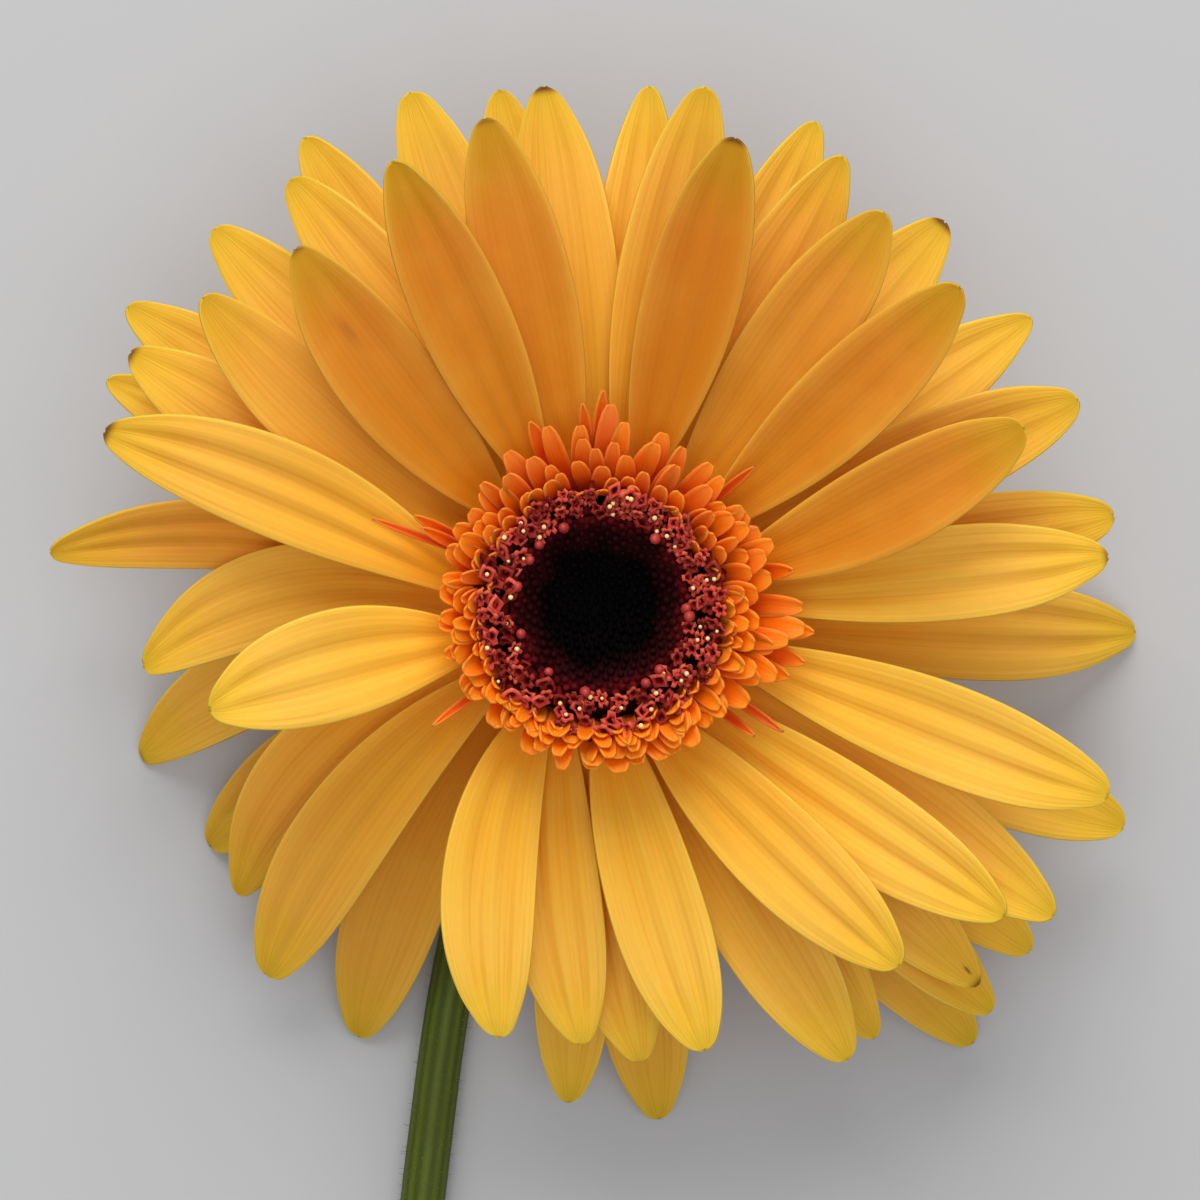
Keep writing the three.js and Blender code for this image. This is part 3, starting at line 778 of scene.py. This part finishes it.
def grow_open_florets():
    """Small coral florets with lobes round a dark throat, some with pollen at the mouth."""
    habit = random.Random(5)
    trumpets = start_strips()[0]
    pollen = bmesh.new()
    for count, share, top in ((44, 0.98, 0.1), (42, 0.7, 0.0), (38, 0.42, -0.2), (34, 0.14, -0.7)):
        start = habit.uniform(0, NEARLY_FULL_TURN)
        for i in range(count):
            azimuth = start + FULL_TURN * (i + habit.uniform(-0.35, 0.35)) / count
            facing = math.sin(azimuth)
            radius = mix(EYE_REACH - 0.1 * MM, open_reach * 0.985 - 0.7 * MM * facing, share)
            radius += habit.uniform(-0.3, 0.3) * MM
            mouth = polar(radius, azimuth, open_top + (top - 0.2 + habit.uniform(-0.5, 0.45)) * MM)
            lean = Vector((math.cos(azimuth), math.sin(azimuth), 0)) * habit.uniform(-0.7, 0.6)
            lean += Vector((habit.uniform(-0.45, 0.45), habit.uniform(-0.45, 0.45) - 0.25, 1))
            turn = lean.to_track_quat("Z", "Y").to_matrix().to_4x4()
            spin = Matrix.Rotation(habit.uniform(0, NEARLY_FULL_TURN), 4, "Z")
            place = Matrix.Translation(mouth) @ turn @ spin
            size = habit.uniform(0.68, 1.05) * MM
            squeeze = Matrix.Diagonal((size, size * habit.uniform(0.62, 1.0), size, 1))
            trumpet(trumpets, place @ squeeze, habit.choice((3, 4, 5, 5)), habit)
            if habit.random() < 0.22:
                part = bmesh.new()
                grain = place @ Matrix.Translation((0, 0, habit.uniform(0.2, 0.6) * MM))
                bmesh.ops.create_icosphere(part, subdivisions=2, radius=habit.uniform(0.16, 0.27) * MM,
                                           matrix=grain)
                pour(pollen, part)
    piece = finish_piece(trumpets, "open_florets", [CORAL], ["disc_florets_open"])
    thicken(piece, OPEN_WALL)
    finish_piece(pollen, "pollen_grains", [POLLEN], [])
    bed = start_strips()[0]
    spin_profile(bed, [
        (EYE_REACH * 0.9, FOOT), (EYE_REACH * 1.03, open_top - 1.9 * MM),
        (open_reach * 0.93, open_top - 1.7 * MM), (open_reach * 0.87, FOOT), (EYE_REACH * 0.9, FOOT),
    ], 48)
    finish_piece(bed, "open_floret_bed", [BUD], [], recalculate=True)


grow_open_florets()


def grow_buds():
    """The eye: tiny buds in crossing spirals on a dished bed, and a few coral ones about to open."""
    habit = random.Random(3)
    rim, dish, count = eye_high.z, 2.9 * MM, 360
    bed, coral = bmesh.new(), bmesh.new()
    profile = [(0.0, eye_low.z), (EYE_REACH * 0.69, eye_low.z), (EYE_REACH * 0.985, rim - 0.25 * MM)]
    for share in (0.8, 0.55, 0.3, 0):
        profile.append((EYE_REACH * share, rim - 0.25 * MM - dish * (1 - share ** 2)))
    spin_profile(bed, profile, 48)
    bmesh.ops.recalc_face_normals(bed, faces=bed.faces)
    for i in range(count):
        share = math.sqrt((i + 0.5) / count)
        azimuth = i * GOLDEN_TURN
        radius = EYE_REACH * share + habit.uniform(-0.06, 0.06) * MM
        height = rim - dish * (1 - share ** 2) - 0.1 * MM + habit.uniform(-0.12, 0.12) * MM
        size = mix(0.3, 0.42, share) * habit.uniform(0.85, 1.12) * MM
        tilt = Matrix.Rotation(habit.uniform(-0.2, 0.2), 4, "X")
        tilt = tilt @ Matrix.Rotation(habit.uniform(-0.2, 0.2), 4, "Y")
        ripe = share > 0.92 and habit.random() < 0.22
        stretch = Matrix.Diagonal((1.35, 1.35, 2.2, 1) if ripe else (1, 1, 1.5, 1))
        seat = polar(radius, azimuth, height + (0.8 * MM if ripe else 0))
        place = Matrix.Translation(seat) @ tilt @ stretch
        part = bmesh.new()
        bmesh.ops.create_uvsphere(part, u_segments=8, v_segments=6, radius=size, matrix=place)
        pour(coral if ripe else bed, part)
    finish_piece(bed, "eye_of_buds", [BUD], ["disc_florets_buds"])
    finish_piece(coral, "coral_buds", [CORAL_BUD], [])


grow_buds()


def grow_bracts(name, node, whorls, seed):
    """Whorls of narrow green bracts on the cup. Each is (count, foot, tip, bulge, width)."""
    habit = random.Random(seed)
    bm = start_strips()[0]
    for count, foot, tip, bulge, width in whorls:
        start = habit.uniform(0, NEARLY_FULL_TURN)
        for i in range(count):
            azimuth = start + FULL_TURN * (i + habit.uniform(-0.2, 0.2)) / count
            end = (tip[0] * habit.uniform(0.96, 1.06), tip[1] + habit.uniform(-0.9, 0.5) * MM)
            line = rising_line(azimuth, foot, end, bulge, habit.uniform(-0.05, 0.05))
            tongue(bm, line, width * habit.uniform(0.88, 1.1), 0.25 * MM, 0, habit.uniform(0, 0.6), habit,
                   steps=10, waist=0.7, widest_at=0.3, point=1.15)
    piece = finish_piece(bm, name, [BRACT], [node])
    thicken(piece, BRACT_WALL)


cup_reach, cup_low, cup_top = reach_of("bracts_inner")
low_reach, low_low, low_top = reach_of("bracts_outer")
grow_bracts("bracts_inner_whorl", "bracts_inner", [
    (26, (cup_reach * 0.5, cup_low), (cup_reach * 1.03, cup_top + 1.3 * MM), 2.3 * MM, 2.6 * MM),
], 31)
grow_bracts("bracts_outer_whorls", "bracts_outer", [
    (20, (low_reach * 0.47, low_low), (low_reach * 0.98, low_top + 0.5 * MM), 2.3 * MM, 2.4 * MM),
    (14, (low_reach * 0.4, low_low - 0.5 * MM), (low_reach * 0.86, low_low + 2.6 * MM), 1.6 * MM, 2.0 * MM),
], 37)


# ---------------------------------------------------------------- stem

CUT_SLANT = math.radians(35)
RIBS, STEM_CORNERS = 12, 48
BRISTLE_COUNT, HAIR_COUNT = 1100, 2600
stem_low, stem_high = box_of("stem")


def stem_sections():
    """Centre, direction and radius of the solid stem, from near the cut end to where it swells."""
    solid = merged("stem")
    near_end = [vert.co for vert in solid.verts if vert.co.y < stem_low.y + 6 * MM]
    at = sum(near_end, Vector()) / len(near_end)
    at.y = stem_low.y + 7 * MM
    ahead = Vector((0, 1, 0))
    sections = []
    for _ in range(200):
        ring = [co for co in cut_through(solid, at, ahead) if (co - at).length < 12 * MM]
        side, lift = side_and_lift(ahead)
        spans = []
        for way in (side, lift):
            reach = [(co - at).dot(way) for co in ring]
            spans.append((min(reach), max(reach)))
        centre = at + side * sum(spans[0]) / 2 + lift * sum(spans[1]) / 2
        radius = (spans[0][1] - spans[0][0] + spans[1][1] - spans[1][0]) / 4
        if sections and radius > sections[0][2] * 1.05 and centre.z > 8 * MM:
            break
        if sections:
            ahead = ahead.lerp((centre - sections[-1][0]).normalized(), 0.5).normalized()
        sections.append((centre, ahead.copy(), radius))
        step = 5 * MM if centre.z < 3.5 * MM else 1.6 * MM
        at = centre + ahead * step
    solid.free()
    return sections


def grow_stem():
    """A ribbed tube that follows the solid stem into the cup, with a slanted cut end."""
    sections = stem_sections()
    base_centre, base_ahead, base_radius = sections[0]
    start = (base_centre - base_ahead * 14 * MM, base_ahead, base_radius)
    last_centre, last_ahead, last_radius = sections[-1]
    goal = polar(0, 0, last_centre.z + 4.5 * MM)
    tail = []
    for share in (0.3, 0.65, 1.0):
        ahead = last_ahead.lerp(UP, share * 0.8).normalized()
        tail.append((last_centre.lerp(goal, share), ahead, last_radius * (1 + 0.35 * share)))
    path = [start] + sections + tail
    bm = bmesh.new()
    rib = bm.verts.layers.float.new("rib")
    ring = bmesh.ops.create_circle(bm, segments=STEM_CORNERS, radius=1)["verts"]
    for vert in ring:
        angle = math.atan2(vert.co.y, vert.co.x)
        bump = 0.5 + 0.5 * math.cos(RIBS * angle + 0.8 * math.sin(3 * angle))
        vert.co *= 1 - 0.03 * (1 - bump)
        vert[rib] = bump

    def pose(section, turn):
        centre, ahead, radius = section
        side, lift = side_and_lift(ahead)
        way = Matrix((side, lift, ahead)).transposed().to_4x4()
        return Matrix.Translation(centre) @ way @ Matrix.Rotation(turn, 4, "Z") @ Matrix.Scale(radius, 4)

    before = Matrix.Identity(4)
    for i, section in enumerate(path):
        if i:
            ring = extrude_ring(bm, ring)
        now = pose(section, 0.012 * i)
        bmesh.ops.transform(bm, verts=ring, matrix=now @ before.inverted())
        before = now
    bmesh.ops.contextual_create(bm, geom=ring)

    # The knife's slanted cut, closed with rings that step in towards its middle.
    knife = Vector((0, -math.cos(CUT_SLANT), -math.sin(CUT_SLANT)))
    cut_at = Vector((base_centre.x, stem_low.y + base_radius * math.tan(CUT_SLANT), base_centre.z))
    cut = bmesh.ops.bisect_plane(
        bm, geom=bm.verts[:] + bm.edges[:] + bm.faces[:], plane_co=cut_at,
        plane_no=knife, clear_outer=True,
    )
    rim = [item for item in cut["geom_cut"] if isinstance(item, bmesh.types.BMEdge)]
    rim_verts = list(dict.fromkeys(vert for edge in rim for vert in edge.verts))
    heart = sum((vert.co for vert in rim_verts), Vector()) / len(rim_verts)
    before_cap = set(bm.faces)
    for share in (0.93, 0.8, 0.62, 0.4, 0.18):
        grown = bmesh.ops.extrude_edge_only(bm, edges=rim)["geom"]
        inner = [item for item in grown if isinstance(item, bmesh.types.BMVert)]
        rim = [item for item in grown if isinstance(item, bmesh.types.BMEdge)
               and all(vert in inner for vert in item.verts)]
        for vert in inner:
            vert.co = heart + (vert.co - heart).normalized() * base_radius * share
            vert.co -= UP * (vert.co - heart).dot(knife) / knife.z
            vert[rib] = share
    bmesh.ops.contextual_create(bm, geom=inner)
    for face in set(bm.faces) - before_cap:
        face.material_index = 1
    finish_piece(bm, "stem_skin", [STEM, CUT_END], ["stem"], recalculate=True)
    return path


stem_path = grow_stem()


RECEPTACLE_WALL = cup_reach * 0.84


def grow_receptacle():
    """The swollen top of the stem, a cup with upright sides and a dished top."""
    neck = cup_low - 1.0 * MM
    wide = RECEPTACLE_WALL
    rim = cup_top - 0.6 * MM
    bm = bmesh.new()
    rib = bm.verts.layers.float.new("rib")
    profile = [(0.0, neck - 1.5 * MM), (2.4 * MM, neck - 1.3 * MM)]
    for step in range(9):
        angle = math.radians(90 * step / 8)
        profile.append((mix(2.7 * MM, wide, math.sin(angle)), rim - (rim - neck) * math.cos(angle)))
    profile += [(wide, stem_high.z - 0.4 * MM), (wide * 0.97, stem_high.z),
                (wide * 0.66, stem_high.z - 0.3 * MM), (0.0, stem_high.z - 1.2 * MM)]
    spin_profile(bm, profile, 64)
    for vert in bm.verts:
        vert[rib] = 0.6
    finish_piece(bm, "receptacle", [STEM], [], recalculate=True)


grow_receptacle()


def grow_pappus():
    """The pale bristles that stand round the feet of the florets, on the receptacle's side and shoulder."""
    habit = random.Random(29)
    bm, batch = bmesh.new(), bmesh.new()
    for i in range(BRISTLE_COUNT):
        if i % BATCH == BATCH - 1:
            pour(bm, batch)
            batch = bmesh.new()
        azimuth = habit.uniform(0, NEARLY_FULL_TURN)
        height = mix(cup_top + 0.8 * MM, stem_high.z - 0.2 * MM, habit.random())
        foot = polar(RECEPTACLE_WALL - 0.1 * MM, azimuth, height)
        out = Vector((math.cos(azimuth), math.sin(azimuth), 0)) * habit.uniform(0.08, 0.28)
        out = (out + UP + Vector((habit.uniform(-0.12, 0.12), habit.uniform(-0.12, 0.12), 0))).normalized()
        bristle(batch, foot, out, habit.uniform(2.4, 4.0) * MM, 0.07 * MM, 0.025 * MM)
    pour(bm, batch)
    finish_piece(bm, "pappus_bristles", [PAPPUS], [])


grow_pappus()


def grow_hairs():
    """Short pale hairs that stand on the stem's skin."""
    habit = random.Random(19)
    bm, batch = bmesh.new(), bmesh.new()
    for i in range(HAIR_COUNT):
        if i % BATCH == BATCH - 1:
            pour(bm, batch)
            batch = bmesh.new()
        at = habit.uniform(1, len(stem_path) - 4.5)
        below = int(at)
        (centre, ahead, radius), (above, _, _) = stem_path[below], stem_path[below + 1]
        centre = centre.lerp(above, at - below)
        side, lift = side_and_lift(ahead)
        angle = habit.uniform(0, NEARLY_FULL_TURN)
        out = side * math.cos(angle) + lift * math.sin(angle)
        if centre.z + out.z * radius < 0.9 * MM:
            continue
        way = out + ahead * habit.uniform(-0.4, 0.4) + side.cross(out) * habit.uniform(-0.3, 0.3)
        length = habit.uniform(0.35, 0.9) * MM
        bristle(batch, centre + out * radius * 0.95, way.normalized(), length, 0.035 * MM, 0.008 * MM)
    pour(bm, batch)
    finish_piece(bm, "stem_hairs", [HAIR], [])


grow_hairs()


# ---------------------------------------------------------------- table, light and camera

TABLE_HALF = 3.0
LENS, SENSOR = 144, 36
CAMERA_ABOVE_FACE = 0.48


def set_stage():
    bm = bmesh.new()
    bmesh.ops.create_grid(bm, x_segments=4, y_segments=4, size=TABLE_HALF)
    mesh = bpy.data.meshes.new("table_top")
    bm.to_mesh(mesh)
    bm.free()
    table = bpy.data.objects.new("table_top", mesh)
    bpy.context.scene.collection.objects.link(table)
    grey, paler = paint(184, 184, 184), paint(188, 188, 188)
    mesh.materials.append(plain_material("pale table", grey, paler, 0.8, 0.02))


def aim(lamp, target):
    lamp.rotation_euler = (Vector(target) - lamp.location).to_track_quat("-Z", "Y").to_euler()


def soft_lamp(name, offset, size, watts, colour):
    data = bpy.data.lights.new(name, "AREA")
    data.shape = "DISK"
    data.size = size
    data.energy = watts
    data.color = colour
    lamp = bpy.data.objects.new(name, data)
    bpy.context.scene.collection.objects.link(lamp)
    lamp.location = AXIS + Vector(offset)
    aim(lamp, AXIS + Vector((0, 0, FACE)))


set_stage()
soft_lamp("window_light", (-0.06, 0.80, 0.68), 0.9, 9.5, (1.0, 0.985, 0.965))
soft_lamp("overhead_fill", (0.1, -0.2, 1.1), 1.0, 3.6, (0.975, 0.985, 1.0))

world = bpy.data.worlds.new("pale room")
world.use_nodes = True
world.node_tree.nodes["Background"].inputs["Color"].default_value = (0.92, 0.95, 1.0, 1)
world.node_tree.nodes["Background"].inputs["Strength"].default_value = 0.44
bpy.context.scene.world = world
bpy.context.scene.view_settings.view_transform = "Standard"

camera_data = bpy.data.cameras.new("camera")
camera_data.sensor_width = SENSOR
camera_data.lens = LENS
camera_data.clip_start = 0.01
camera = bpy.data.objects.new("camera", camera_data)
bpy.context.scene.collection.objects.link(camera)
camera.location = AXIS + Vector((0, 0.5 * MM, FACE + CAMERA_ABOVE_FACE))
bpy.context.scene.camera = camera
